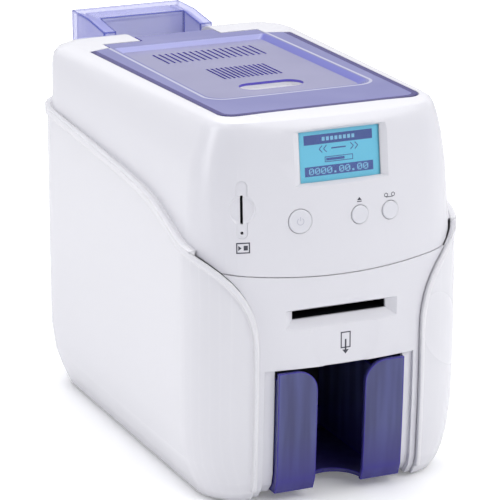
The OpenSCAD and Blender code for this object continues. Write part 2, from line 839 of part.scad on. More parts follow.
// Dark well that the tray slides into: two sides and a back
module exit_chute() {
    x0 = opening_half + 1.5;
    color(black) place() {
        mirrored() along_x(x0, x0 + chute_t)
            polygon([
                [boss_end + seam_gap, base_top], [tray_back + 4, base_top], [tray_back + 4, slot_z - 20],
                [12, slot_z - 20], [12, boss_end], [boss_end + seam_gap, boss_end]
            ]);
        block([-x0 - eps, tray_back + 4 - chute_t, base_top], [x0 + eps, tray_back + 4, slot_z - 20]);
    }
}

// ---------- frames and card transport ----------

card_half_gap = 0.4;
axle_z = slot_z - card_half_gap - roller_r;
function roller_y(i) = first_roller_y + i * roller_pitch;
function idler_y(i) = first_roller_y + (i + 0.5) * roller_pitch;
pinch_r = 5;
pinch_z = slot_z + card_half_gap + pinch_r;
clean_r = 7;
clean_z = slot_z + card_half_gap + clean_r;
pinion_r = gear_m * pinion_teeth / 2;
idler_r = gear_m * idler_teeth / 2;
motor_y = idler_y(1);
motor_z = axle_z - idler_r - pinion_r;
spool_z = slot_z + 52;
supply_y = roller_y(2) - 5;
take_y = roller_y(0) + 8;
spool_gear_teeth = 30;
ribbon_motor_z = spool_z - gear_m * (spool_gear_teeth + pinion_teeth) / 2;
pivot_y = roller_y(3) - 4;
pivot_z = slot_z + 62;
frame_rear = roller_y(4) + 9;
frame_front = first_roller_y - 12;

module frame_plate(right) {
    x0 = frame_x;
    x1 = frame_x + frame_t;
    bore = shaft_r + run_gap;
    difference() {
        along_x(x0, x1) difference() {
            polygon([
                [frame_front, base_top], [frame_rear, base_top], [frame_rear, slot_z + 6], [pivot_y + 14, slot_z + 26],
                [pivot_y + 10, pivot_z + 10], [take_y - 4, pivot_z + 10], [frame_front, slot_z + 26]
            ]);
            translate([frame_front + 8, base_top + 8]) square([tray_back - frame_front - 14, 52]);
            translate([roller_y(2) + 8, base_top + 10]) square([64, 60]);
        }
        for (i = [0:4]) across(bore, x0 - 1, x1 + 1, roller_y(i), axle_z);
        for (y = [roller_y(0), roller_y(2)]) across(2 + run_gap, x0 - 1, x1 + 1, y, pinch_z);
        across(2 + run_gap, x0 - 1, x1 + 1, roller_y(3), clean_z);
        across(bore, x0 - 1, x1 + 1, pivot_y, pivot_z);
        for (y = [supply_y, take_y]) across(bore, x0 - 1, x1 + 1, y, spool_z);
        if (right) across(5, x0 - 1, x1 + 1, motor_y, motor_z);
    }
}

module right_frame() {
    color(steel) place() frame_plate(true);
}

module left_frame() {
    color(steel) place() mirror([1, 0, 0]) frame_plate(false);
}

bar_gap = 0.1;

module tie_bars() {
    color(steel) place() for (p = [[tray_back + 8, slot_z - 40], [frame_rear - 10, slot_z - 42], [pivot_y + 1, slot_z + 40]])
        block([-frame_x + bar_gap, p[0], p[1]], [frame_x - bar_gap, p[0] + 6, p[1] + 6]);
}

rubber_half = 29;
gear_x = frame_x + frame_t + 1;
gear_w = 5;

module driven_roller(y, r) {
    place() {
        color(steel) across(shaft_r, -frame_x - frame_t - 2, gear_x + gear_w + 1, y, axle_z);
        color([0.15, 0.15, 0.17]) across(r, -rubber_half, rubber_half, y, axle_z);
    }
}

module front_feed_roller() driven_roller(roller_y(0), roller_r);

module platen_roller() driven_roller(roller_y(1), roller_r);

module rear_feed_roller() driven_roller(roller_y(2), roller_r);

module entry_roller() driven_roller(roller_y(3), roller_r);

module pick_roller() {
    place() {
        color(steel) across(shaft_r, -frame_x - frame_t - 2, gear_x + gear_w + 1, roller_y(4), axle_z);
        color([0.15, 0.15, 0.17]) across(roller_r, -window_half + 3, window_half - 3, roller_y(4), axle_z);
    }
}

module idle_roller(y, z, r) {
    place() {
        color(steel) across(2, -frame_x - frame_t - 1, frame_x + frame_t + 1, y, z);
        color([0.3, 0.3, 0.33]) across(r, -rubber_half, rubber_half, y, z);
    }
}

module front_pinch_roller() idle_roller(roller_y(0), pinch_z, pinch_r);

module rear_pinch_roller() idle_roller(roller_y(2), pinch_z, pinch_r);

module cleaning_roller() idle_roller(roller_y(3), clean_z, clean_r);

// Spur gear seen along X, drawn with a tooth on the +Y side when turned by zero
module gear_shape(teeth, bore) {
    root = gear_m * (teeth / 2 - 1.15);
    tip = gear_m * (teeth / 2 + 0.85);
    half_root = 180 / teeth * 0.58;
    half_tip = 180 / teeth * 0.22;
    difference() {
        polygon([for (i = [0:teeth - 1]) let (a = i * 360 / teeth) each [
            [root * cos(a - half_root), root * sin(a - half_root)],
            [tip * cos(a - half_tip), tip * sin(a - half_tip)],
            [tip * cos(a + half_tip), tip * sin(a + half_tip)],
            [root * cos(a + half_root), root * sin(a + half_root)]
        ]]);
        circle(r = bore);
    }
}

module gear(teeth, y, z, bore, turn, x) {
    translate([x, y, z]) rotate([90, 0, 90]) rotate([0, 0, turn]) linear_extrude(gear_w) gear_shape(teeth, bore);
}

module roller_gear(i) {
    color([0.92, 0.92, 0.88]) place() gear(roller_teeth, roller_y(i), axle_z, shaft_r + 0.05, 0, gear_x);
}

idler_pin_r = 2.5;

module idler_gear(i) {
    color([0.85, 0.85, 0.8]) place()
        gear(idler_teeth, idler_y(i), axle_z, idler_pin_r + run_gap, 180 / idler_teeth, gear_x);
}

module front_feed_gear() roller_gear(0);

module platen_gear() roller_gear(1);

module rear_feed_gear() roller_gear(2);

module entry_gear() roller_gear(3);

module pick_gear() roller_gear(4);

module front_idler_gear() idler_gear(0);

module middle_idler_gear() idler_gear(1);

module rear_idler_gear() idler_gear(2);

module last_idler_gear() idler_gear(3);

module idler_pins() {
    color(steel) place() for (i = [0:3]) {
        across(idler_pin_r, frame_x + frame_t, gear_x + gear_w + 0.6, idler_y(i), axle_z);
        across(idler_pin_r + 1.5, gear_x + gear_w + 0.6, gear_x + gear_w + 1.6, idler_y(i), axle_z);
    }
}

// How far the driven gear's lowest tooth is off straight down, and a pinion below it turned to mesh
function mesh_offset(teeth, turn) =
    let (k = (270 - turn) / (360 / teeth)) (k - round(k)) * 360 / teeth;
function pinion_turn(teeth, turn) = 90 + 180 / pinion_teeth + mesh_offset(teeth, turn) * teeth / pinion_teeth;

module motor_pinion() {
    color([0.85, 0.75, 0.4]) place() gear(pinion_teeth, motor_y, motor_z, 1.56, pinion_turn(idler_teeth, 180 / idler_teeth), gear_x);
}

module drive_motor() {
    color([0.2, 0.2, 0.22]) place() {
        across(17, frame_x - 38, frame_x - 0.1, motor_y, motor_z);
        across(1.5, frame_x - 0.2, gear_x + gear_w, motor_y, motor_z);
    }
}

// ---------- ribbon ----------

roll_r = 14;
take_roll_r = 11;
core_r = 7;
film_half = 31;
film_t = 0.3;

module spool(y) {
    color([0.2, 0.2, 0.22]) place() {
        across(shaft_r, -frame_x - frame_t - 1, gear_x + gear_w + 1, y, spool_z);
        across(core_r, -film_half - 3, film_half + 3, y, spool_z);
        mirrored() across(roll_r + 3, film_half + 1, film_half + 3, y, spool_z);
    }
}

module supply_spool() spool(supply_y);

module take_up_spool() spool(take_y);

module film_roll(y, r) {
    color([0.1, 0.1, 0.14]) place() difference() {
        across(r, -film_half, film_half, y, spool_z);
        across(core_r + 0.05, -film_half - 1, film_half + 1, y, spool_z);
    }
}

module supply_roll() film_roll(supply_y, roll_r);

module take_up_roll() film_roll(take_y, take_roll_r);

module ribbon_film() {
    low = slot_z + 0.35;
    y0 = take_y + 8;
    y1 = roller_y(1) - 12;
    y2 = roller_y(1) + 12;
    y3 = supply_y - 8;
    z0 = spool_z - take_roll_r - 3.2;
    z3 = spool_z - roll_r - 3.2;
    color([0.12, 0.12, 0.16]) place() along_x(-film_half + 1, film_half - 1)
        polygon([
            [y0, z0], [y1, low], [y2, low], [y3, z3], [y3 - 1, z3], [y2 - 0.3, low + film_t],
            [y1 + 0.3, low + film_t], [y0 + 1, z0]
        ]);
}

cassette_half = 42;

module ribbon_cassette() {
    bore = shaft_r + 0.5;
    rail = 2.5;
    color([0.55, 0.56, 0.6]) place() {
        mirrored() difference() {
            along_x(cassette_half, cassette_half + rail)
                polygon([
                    [take_y - 22, spool_z - 5], [take_y - 14, spool_z - 18], [take_y + 12, spool_z - 18],
                    [take_y + 20, spool_z - 8], [supply_y - 20, spool_z - 8], [supply_y - 12, spool_z - 22],
                    [supply_y + 12, spool_z - 22], [supply_y + 21, spool_z - 5], [supply_y + 21, spool_z + 6],
                    [take_y - 22, spool_z + 6]
                ]);
            for (y = [supply_y, take_y]) across(bore, 0, over, y, spool_z);
        }
        for (y = [take_y - 22, supply_y + 18])
            block([-cassette_half - eps, y, spool_z - 4], [cassette_half + eps, y + 3, spool_z + 4]);
    }
}

module take_up_gear() {
    color([0.92, 0.92, 0.88]) place() gear(spool_gear_teeth, take_y, spool_z, shaft_r + 0.05, 270, gear_x);
}

module ribbon_pinion() {
    color([0.85, 0.75, 0.4]) place()
        gear(pinion_teeth, take_y, ribbon_motor_z, 1.56, pinion_turn(spool_gear_teeth, 270), gear_x);
}

module ribbon_motor() {
    color([0.2, 0.2, 0.22]) place() {
        across(11, gear_x + gear_w + 1.2, body_w / 2 - 10, take_y, ribbon_motor_z);
        across(1.5, gear_x, gear_x + gear_w + 1.3, take_y, ribbon_motor_z);
        block([frame_x + frame_t + 0.1, take_y - 14, ribbon_motor_z - 14], [gear_x + gear_w + 3, take_y + 14, ribbon_motor_z - 11.5]);
        block([gear_x + gear_w + 1.2, take_y - 14, ribbon_motor_z - 12], [gear_x + gear_w + 3, take_y + 14, ribbon_motor_z + 8]);
    }
}

// ---------- print head ----------

arm_x = 46;
arm_t = 2.5;
head_y = roller_y(1);
head_half = 30;
cover_top = slot_z + 90;

module head_carriage() {
    color(white) place() {
        mirrored() difference() {
            along_x(arm_x, arm_x + arm_t)
                polygon([
                    [pivot_y + 7, pivot_z - 7], [pivot_y + 7, pivot_z + 8], [supply_y + 26, cover_top],
                    [take_y - 20, cover_top], [take_y - 20, cover_top - 6], [head_y - 12, cover_top - 14],
                    [head_y - 12, spool_z + 8], [head_y + 12, spool_z + 8], [head_y + 12, cover_top - 14],
                    [supply_y + 22, cover_top - 12], [pivot_y - 7, pivot_z - 7]
                ]);
            across(shaft_r + run_gap, 0, over, pivot_y, pivot_z);
        }
        block([-arm_x - eps, take_y - 20, cover_top - 2.5], [arm_x + eps, supply_y + 26, cover_top]);
        block([-head_half, head_y - 9, slot_z + 34], [head_half, head_y + 9, cover_top - 2.4]);
    }
}

module print_head() {
    color([0.25, 0.2, 0.18]) place() {
        block([-head_half, head_y - 8, slot_z + 5], [head_half, head_y + 8, slot_z + 33.9]);
        along_x(-head_half, head_half)
            polygon([[head_y - 7, slot_z + 5 + eps], [head_y - 2, slot_z + 1], [head_y + 2, slot_z + 1], [head_y + 7, slot_z + 5 + eps]]);
    }
}

module head_pivot_shaft() {
    color(steel) place() across(shaft_r, -frame_x - frame_t - 1, frame_x + frame_t + 1, pivot_y, pivot_z);
}

// ---------- electronics ----------

board_front = tray_back + 12;
board_rear = body_d - 20;

module main_board() {
    z = base_top + 4;
    color([0.1, 0.35, 0.2]) place() {
        block([-46, board_front, z], [46, board_rear, z + 1.6]);
        for (x = [-42, 42], y = [board_front + 5, board_rear - 5])
            translate([x, y, base_top]) cylinder(r = 3, h = 4 + eps);
        block([-8, board_front + 30, z + 1.5], [10, board_front + 48, z + 4]);
        block([-38, board_front + 20, z + 1.5], [-26, board_front + 60, z + 12]);
        block([20, board_front + 24, z + 1.5], [34, board_front + 50, z + 9]);
    }
}

socket_z = base_top + 5.7;
socket_y = body_d - 9.5;

module power_inlet() {
    color(black) place() difference() {
        union() {
            block([inlet_x - 4.5, board_rear - 6, socket_z], [inlet_x + 4.5, socket_y, inlet_z + 4.5]);
            block([inlet_x - 4.5, socket_y - eps, inlet_z - 4.5], [inlet_x + 4.5, body_d - 0.6, inlet_z + 4.5]);
        }
        translate([inlet_x, body_d - 12, inlet_z]) rotate([-90, 0, 0]) cylinder(r = 3.2, h = 30);
    }
}

module usb_port() {
    color(steel) place() difference() {
        union() {
            block([usb_x - 6, board_rear - 6, socket_z], [usb_x + 6, socket_y, inlet_z + 5.4]);
            block([usb_x - 6, socket_y - eps, inlet_z - 5.4], [usb_x + 6, body_d - 0.6, inlet_z + 5.4]);
        }
        block([usb_x - 4.8, body_d - 12, inlet_z - 4.2], [usb_x + 4.8, body_d + 30, inlet_z + 4.2]);
    }
}

base_tray();
left_side_panel();
right_side_panel();
upper_housing();
front_cover();
rear_panel();
top_lid();
lid_hinge_pins();
input_hopper();
lcd_window();
lcd_module();
power_button();
eject_button();
ribbon_button();
switch_board();
chip_reader();
card_slot_guide();
output_tray();
exit_chute();
left_frame();
right_frame();
tie_bars();
front_feed_roller();
platen_roller();
rear_feed_roller();
entry_roller();
pick_roller();
front_pinch_roller();
rear_pinch_roller();
cleaning_roller();
front_feed_gear();
platen_gear();
rear_feed_gear();
entry_gear();
pick_gear();
front_idler_gear();
middle_idler_gear();
rear_idler_gear();
last_idler_gear();
idler_pins();
motor_pinion();
drive_motor();
ribbon_cassette();
supply_spool();
take_up_spool();
supply_roll();
take_up_roll();
ribbon_film();
take_up_gear();
ribbon_pinion();
ribbon_motor();
head_carriage();
print_head();
head_pivot_shaft();
main_board();
power_inlet();
usb_port();
rubber_feet();
case_screws();
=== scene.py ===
"""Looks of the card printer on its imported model.

It holds the camera, the materials, the marks on the front, the finger cup under the lid's hole,
the tongues in the side panels' seams, the floor, the backdrop and the lamps.
"""

import json
import math

import bmesh
import bpy
from mathutils import Matrix, Vector
from mathutils.bvhtree import BVHTree


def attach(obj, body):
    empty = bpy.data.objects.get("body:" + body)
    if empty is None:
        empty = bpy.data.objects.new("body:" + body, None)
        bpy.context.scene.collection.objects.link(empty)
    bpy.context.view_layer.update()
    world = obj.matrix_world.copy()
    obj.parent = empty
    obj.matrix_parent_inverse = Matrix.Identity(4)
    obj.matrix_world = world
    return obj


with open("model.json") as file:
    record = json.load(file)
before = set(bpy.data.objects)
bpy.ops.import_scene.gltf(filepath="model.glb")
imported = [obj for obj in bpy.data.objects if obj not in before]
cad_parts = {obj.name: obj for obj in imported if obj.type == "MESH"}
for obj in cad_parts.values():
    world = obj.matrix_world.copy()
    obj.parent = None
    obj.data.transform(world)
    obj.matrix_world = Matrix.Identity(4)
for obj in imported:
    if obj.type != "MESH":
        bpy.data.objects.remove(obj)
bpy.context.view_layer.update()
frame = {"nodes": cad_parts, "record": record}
NODES = frame["nodes"]
scene = bpy.context.scene
MM = 0.001


# ---------- camera, as fitted to the photograph ----------

CAMERA_AT = (-0.7215, -1.656, 0.661)
RIGHT = Vector((0.9135, -0.4067, 0.0)).normalized()
FORWARD = Vector((0.3887, 0.8731, -0.2940)).normalized()
UP = RIGHT.cross(FORWARD)

camera_data = bpy.data.cameras.new("camera")
camera_data.sensor_width = 36
camera_data.lens = 216
camera_data.clip_start = 0.05
camera_data.clip_end = 60
camera = bpy.data.objects.new("camera", camera_data)
scene.collection.objects.link(camera)
camera.matrix_world = Matrix((
    (RIGHT.x, UP.x, -FORWARD.x, CAMERA_AT[0]),
    (RIGHT.y, UP.y, -FORWARD.y, CAMERA_AT[1]),
    (RIGHT.z, UP.z, -FORWARD.z, CAMERA_AT[2]),
    (0, 0, 0, 1),
))
scene.camera = camera
scene.view_settings.view_transform = "Standard"


# ---------- node trees ----------

# The colour sockets of Blender's Mix node, which share their names with its other sockets.
MIX_A, MIX_B, MIX_RESULT = 6, 7, 2
# The cosine between a face's own normal and its rounded one, where an edge starts and where it is full.
EDGE_STARTS, EDGE_FULL = 0.998, 0.955


class Graph:
    """The node tree of a material or a world, with short calls for the nodes used here."""

    def __init__(self, owner):
        owner.use_nodes = True
        self.owner = owner
        self.tree = owner.node_tree
        self.shader = self.tree.nodes.get("Principled BSDF")

    def add(self, kind, **values):
        node = self.tree.nodes.new(kind)
        for key, value in values.items():
            setattr(node, key, value)
        return node

    def link(self, source, socket):
        self.tree.links.new(source, socket)

    def feed(self, name, source):
        """Links a source to one of the shader's sockets."""
        self.link(source, self.shader.inputs[name])

    def set(self, **values):
        """Sets what is the same all over on the shader's own sockets."""
        for key, value in values.items():
            self.shader.inputs[key.replace("_", " ")].default_value = value

    def place(self):
        """A point's place in the piece's own frame."""
        return self.add("ShaderNodeTexCoord").outputs["Object"]

    def noise(self, scale, detail, rough=0.5, stretch=None):
        node = self.add("ShaderNodeTexNoise")
        node.inputs["Scale"].default_value = scale
        node.inputs["Detail"].default_value = detail
        node.inputs["Roughness"].default_value = rough
        source = self.place()
        if stretch:
            mapping = self.add("ShaderNodeMapping")
            mapping.inputs["Scale"].default_value = stretch
            self.link(source, mapping.inputs["Vector"])
            source = mapping.outputs["Vector"]
        self.link(source, node.inputs["Vector"])
        return node.outputs["Fac"]

    def span(self, value, low, high, to_low=0, to_high=1):
        """Maps low to to_low and high to to_high, and stays within them."""
        node = self.add("ShaderNodeMapRange")
        sockets = ("From Min", "From Max", "To Min", "To Max")
        for name, number in zip(sockets, (low, high, to_low, to_high)):
            node.inputs[name].default_value = number
        self.link(value, node.inputs["Value"])
        return node.outputs["Result"]

    def cloud(self, scale, detail, low=0.3, high=0.7):
        """Soft blotches, from 0 to 1."""
        return self.span(self.noise(scale, detail), low, high)

    def mix(self, factor, a, b):
        """Colour a where the factor is 0 and b where it is 1."""
        node = self.add("ShaderNodeMix", data_type="RGBA")
        self.link(factor, node.inputs["Factor"])
        for slot, colour in ((MIX_A, a), (MIX_B, b)):
            if isinstance(colour, tuple):
                node.inputs[slot].default_value = (*colour, 1)
            else:
                self.link(colour, node.inputs[slot])
        return node.outputs[MIX_RESULT]

    def calc(self, operation, a, b=None):
        """One step of arithmetic on sockets or numbers."""
        node = self.add("ShaderNodeMath", operation=operation)
        for slot, value in enumerate((a, b)):
            if isinstance(value, (int, float)):
                node.inputs[slot].default_value = value
            elif value is not None:
                self.link(value, node.inputs[slot])
        return node.outputs["Value"]

    def parts(self, vector):
        node = self.add("ShaderNodeSeparateXYZ")
        self.link(vector, node.inputs["Vector"])
        return node.outputs["X"], node.outputs["Y"], node.outputs["Z"]

    def facing(self):
        """The direction that a face looks in, in the piece's own frame."""
        return self.parts(self.add("ShaderNodeTexCoord").outputs["Normal"])

    def rounded_normal(self, radius, samples):
        """The normal of a surface whose edges are rounded to that radius."""
        bevel = self.add("ShaderNodeBevel", samples=samples)
        bevel.inputs["Radius"].default_value = radius
        return bevel.outputs["Normal"]

    def near_edge(self, radius):
        """1 along the sharp edges of a piece and 0 on its broad faces."""
        dot = self.add("ShaderNodeVectorMath", operation="DOT_PRODUCT")
        self.link(self.rounded_normal(radius, samples=8), dot.inputs[0])
        self.link(self.add("ShaderNodeNewGeometry").outputs["True Normal"], dot.inputs[1])
        return self.span(dot.outputs["Value"], EDGE_STARTS, EDGE_FULL)

    def bump(self, height, strength, distance, edge=0.0):
        """Relief on the surface, with the piece's edges rounded to the radius edge."""
        node = self.add("ShaderNodeBump")
        node.inputs["Strength"].default_value = strength
        node.inputs["Distance"].default_value = distance
        self.link(height, node.inputs["Height"])
        if edge:
            self.link(self.rounded_normal(edge, samples=6), node.inputs["Normal"])
        self.feed("Normal", node.outputs["Normal"])


def material_graph(name):
    return Graph(bpy.data.materials.new(name))


def darker(colour, share):
    return tuple(c * (1 - share) for c in colour)


# ---------- plastics, steel and brass ----------

def moulded(name, colour, rough, grain=1400, depth=0.05, coat=0.0, shift=0.03):
    """Injection-moulded plastic: fine grain, faint blotches of tone and of gloss."""
    g = material_graph(name)
    g.feed("Base Color", g.mix(g.cloud(9, 3, 0.35, 0.65), darker(colour, shift), colour))
    g.feed("Roughness", g.span(g.noise(26, 4), 0.3, 0.7, rough - 0.03, rough + 0.04))
    g.bump(g.noise(grain, 3), strength=depth, distance=0.0004)
    g.set(Coat_Weight=coat, Coat_Roughness=0.12)
    return g.owner


def gloss_moulded(name, colour, rough, edge, coat, painted_highlight_radius=None):
    """Glossy moulded plastic: broad, soft changes of tone and gloss, and a moulded wall's slight waves.

    Within the radius given as its last argument, its edges are painted paler: a painted highlight.
    """
    g = material_graph(name)
    tone = g.mix(g.noise(5, 0), darker(colour, 0.015), colour)
    if painted_highlight_radius:
        # Painted highlight: the edges are painted a paler white.
        tone = g.mix(g.near_edge(painted_highlight_radius), tone, (0.90, 0.895, 0.91))
    g.feed("Base Color", tone)
    g.feed("Roughness", g.span(g.noise(8, 0), 0.0, 1.0, rough - 0.03, rough + 0.03))
    g.bump(g.noise(30, 0), strength=0.03, distance=0.0003, edge=edge)
    g.set(Coat_Weight=coat, Coat_Roughness=0.08)
    return g.owner


def see_through(g, tone, alpha, rough, edge=0.0, painted_edge_tone=None, ior=1.49, passes=0.0):
    """Finishes a see-through plastic of that tone.

    Where edge is a radius, its edges, where the light is caught, are painted deeper, a painted shade
    along them, and are denser, and its shadow is weaker by the share that passes.
    """
    if edge:
        mask = g.near_edge(edge)
        # Painted shade: the edges are painted a deeper tone.
        tone = g.mix(mask, tone, painted_edge_tone)
        shadow = g.add("ShaderNodeLightPath").outputs["Is Shadow Ray"]
        held = g.span(shadow, 0, 1, 1, 1 - passes)
        dense = g.span(mask, 0, 1, alpha, 0.5 + alpha / 2)
        g.feed("Alpha", g.calc("MULTIPLY", dense, held))
    else:
        g.set(Alpha=alpha)
    g.feed("Base Color", tone)
    g.feed("Roughness", g.span(g.noise(12, 1), 0.2, 0.8, rough, rough + 0.04))
    g.bump(g.noise(40, 1), strength=0.02, distance=0.0003, edge=edge / 2)
    g.set(IOR=ior)
    return g.owner


def metal(name, colour, rough, brushed=True):
    """Steel or brass, with brushed lines along X or with fine blotches."""
    g = material_graph(name)
    if brushed:
        lines = g.noise(1, 3, 0.6, (8, 900, 900))
    else:
        lines = g.noise(300, 3, 0.6, (1, 1, 1))
    g.feed("Base Color", g.mix(g.span(lines, 0.3, 0.7), darker(colour, 0.14), colour))
    g.feed("Roughness", g.span(lines, 0.3, 0.7, rough - 0.06, rough + 0.08))
    g.bump(lines, strength=0.08, distance=0.0002)
    g.set(Metallic=1.0)
    return g.owner


# ---------- the three violet plastics ----------

# The lid's top plane passes through (0, LID_FRONT, LID_HIGH) and falls to the rear by LID_SLOPE.
LID_FRONT, LID_HIGH, LID_SLOPE = -0.1415, 0.232, 0.020947
# Its outline: half width at the front, growth of that to the rear, corner radius, and the width of the
# dark band of painted shade along its edge.
LID_HALF, LID_FLARE, LID_CORNER, LID_BAND = 0.064, 0.0228, 0.010, 0.0042
# The outline of its sunken middle: half width, distance from the lid's front and corner radius.
PAN_HALF, PAN_FRONT, PAN_CORNER = 0.0535, 0.041, 0.012


def outline_reach(g, x, run, half, front, corner):
    """How far a point lies past the core of a rounded outline: the corner's radius on the outline."""
    out_x = g.calc("MAXIMUM", g.calc("SUBTRACT", g.calc("ABSOLUTE", x), half), 0.0)
    out_y = g.calc("MAXIMUM", g.calc("SUBTRACT", front + corner, run), 0.0)
    squares = g.calc("ADD", g.calc("MULTIPLY", out_x, out_x), g.calc("MULTIPLY", out_y, out_y))
    return g.calc("SQRT", squares)


def lid_tint():
    """The lid: its border, its greyer sunken middle with a painted highlight on its shoulder, painted
    light and shade on its slopes, and its walls and dark band painted deeper as painted shade.
    """
    g = material_graph("lid_tint")
    x, y, z = g.parts(g.place())
    nx, ny, nz = g.facing()
    run = g.calc("SUBTRACT", y, LID_FRONT)

    cloud = g.cloud(16, 2)
    border = g.mix(cloud, (0.20, 0.205, 0.47), (0.25, 0.255, 0.52))
    grey = g.mix(cloud, (0.31, 0.305, 0.48), (0.355, 0.35, 0.53))
    height = g.calc("ADD", z, g.calc("MULTIPLY", y, LID_SLOPE))
    level = LID_HIGH + LID_FRONT * LID_SLOPE
    tone = g.mix(g.span(height, level - 0.0003, level - 0.0022), border, grey)

    # Painted light and shade: slopes facing right, to the front or to the back are painted paler, and
    # slopes facing left deeper.
    painted_lit_slope = g.span(g.calc("MAXIMUM", nx, g.calc("ABSOLUTE", ny)), 0.15, 0.36)
    tone = g.mix(painted_lit_slope, tone, (0.42, 0.43, 0.74))
    painted_shaded_slope = g.span(nx, -0.15, -0.36)
    tone = g.mix(painted_shaded_slope, tone, (0.20, 0.21, 0.58))

    # Painted highlight: a pale line painted along the sunken middle's shoulder.
    pan = outline_reach(g, x, run, PAN_HALF - PAN_CORNER, PAN_FRONT, PAN_CORNER)
    shoulder = g.calc("MULTIPLY", g.span(pan, PAN_CORNER - 0.0006, PAN_CORNER),
                      g.span(pan, PAN_CORNER + 0.0018, PAN_CORNER + 0.0013))
    tone = g.mix(shoulder, tone, (0.56, 0.56, 0.72))

    # Painted shade: the upright walls are painted a deeper violet.
    wall = g.span(g.calc("ABSOLUTE", nz), 0.7, 0.4)
    tone = g.mix(wall, tone, (0.12, 0.09, 0.58))

    # Painted shade: a dark band painted along the lid's outer edge.
    half = g.calc("ADD", LID_HALF - LID_CORNER, g.calc("MULTIPLY", run, LID_FLARE))
    rim = outline_reach(g, x, run, half, 0.0, LID_CORNER)
    band = g.span(rim, LID_CORNER - LID_BAND, LID_CORNER - LID_BAND + 0.0005)
    tone = g.mix(band, tone, (0.03, 0.018, 0.20))
    return see_through(g, tone, alpha=0.82, rough=0.14, ior=1.34)


def hopper_tint():
    """Pale violet, with painted light: paler on what looks forward."""
    g = material_graph("hopper_tint")
    tone = g.mix(g.cloud(18, 2), (0.38, 0.39, 0.72), (0.43, 0.44, 0.77))
    # Painted light: faces that look forward are painted paler.
    forward = g.span(g.facing()[1], -0.4, -0.8)
    tone = g.mix(forward, tone, (0.66, 0.67, 0.95))
    # The hopper's edges get a painted shade.
    return see_through(g, tone, alpha=0.56, rough=0.10, edge=0.0026, painted_edge_tone=(0.05, 0.07, 0.42),
                       passes=0.8)


def tray_tint():
    """Smoky violet, more violet near the foot, with faint upright streaks."""
    g = material_graph("tray_tint")
    streaks = g.span(g.noise(1, 2, 0.5, (120, 120, 9)), 0.35, 0.65)
    tone = g.mix(streaks, (0.062, 0.066, 0.18), (0.10, 0.11, 0.30))
    foot = g.span(g.parts(g.place())[2], 0.042, 0.012, 0, 0.7)
    tone = g.mix(foot, tone, (0.055, 0.042, 0.28))
    # The tray's edges get a painted shade.
    return see_through(g, tone, alpha=0.88, rough=0.12, edge=0.0014, painted_edge_tone=(0.04, 0.025, 0.34))


# ---------- the display ----------

def display_glass():
    g = material_graph("display_glass")
    g.feed("Roughness", g.span(g.noise(60, 3), 0.3, 0.7, 0.03, 0.08))
    g.bump(g.noise(300, 2), strength=0.01, distance=0.0002)
    g.set(Base_Color=(0.93, 0.97, 1.0, 1), Transmission_Weight=1.0, IOR=1.2)
    return g.owner


def display_face():
    """Lit blue cells on the face that looks forward, and a dark module behind it."""
    g = material_graph("display_face")
    cells = g.add("ShaderNodeTexChecker")
    cells.inputs["Scale"].default_value = 2400
    g.link(g.place(), cells.inputs["Vector"])
    forward = g.span(g.facing()[1], -0.3, -0.6)
    lit = g.mix(cells.outputs["Fac"], (0.13, 0.44, 0.58), (0.15, 0.48, 0.62))
    tone = g.mix(forward, (0.03, 0.035, 0.04), lit)
    g.feed("Base Color", tone)
    g.feed("Emission Color", tone)
    g.feed("Roughness", g.span(g.noise(40, 2), 0.3, 0.7, 0.35, 0.45))
    g.set(Emission_Strength=0.25)
    return g.owner


# ---------- materials on the CAD nodes ----------

WHITE = gloss_moulded("white_moulding", (0.765, 0.76, 0.79), 0.26, edge=0.0007, coat=0.2)
# The panels' lip and their other edges carry a painted highlight.
PANEL = gloss_moulded("panel_moulding", (0.765, 0.76, 0.785), 0.26, edge=0.0022, coat=0.2, painted_highlight_radius=0.0024)
MATERIAL_OF_SLOT = {
    "white_plastic": WHITE,
    "lid_plastic": lid_tint(),
    "hopper_plastic": hopper_tint(),
    "tray_plastic": tray_tint(),
    "key_plastic": gloss_moulded("key_moulding", (0.75, 0.75, 0.785), 0.3, edge=0.0004, coat=0.1),
    "black_plastic": moulded("black_moulding", (0.012, 0.012, 0.016), 0.5, shift=0.3),
    "circuit_board": moulded("board_lacquer", (0.02, 0.12, 0.05), 0.35, grain=260, depth=0.2,
                             coat=0.4, shift=0.3),
    "roller_rubber": moulded("roller_rubber", (0.025, 0.025, 0.028), 0.75, grain=2600, depth=0.35,
                             shift=0.2),
    "grey_plastic": moulded("grey_moulding", (0.17, 0.175, 0.20), 0.42, shift=0.1),
    "gear_nylon": moulded("gear_nylon", (0.72, 0.70, 0.60), 0.45, shift=0.08),
    "motor_metal": moulded("motor_lacquer", (0.05, 0.05, 0.055), 0.38, coat=0.3, shift=0.2),
    "ribbon_foil": moulded("ribbon_foil", (0.015, 0.015, 0.03), 0.16, grain=120, depth=0.12,
                           coat=0.5, shift=0.3),
    "sheet_steel": metal("sheet_steel", (0.40, 0.41, 0.43), 0.40),
    "bright_steel": metal("turned_steel", (0.70, 0.71, 0.73), 0.2),
    "pinion_brass": metal("pinion_brass", (0.72, 0.52, 0.22), 0.3, brushed=False),
    "display_glass": display_glass(),
    "display_face": display_face(),
}
for entry in frame["record"]["subparts"]:
    node = NODES[entry["node"]]
    node.data.materials.clear()
    node.data.materials.append(MATERIAL_OF_SLOT[entry["material_slot"]])

for name in ("left_side_panel", "right_side_panel"):
    NODES[name].data.materials[0] = PANEL


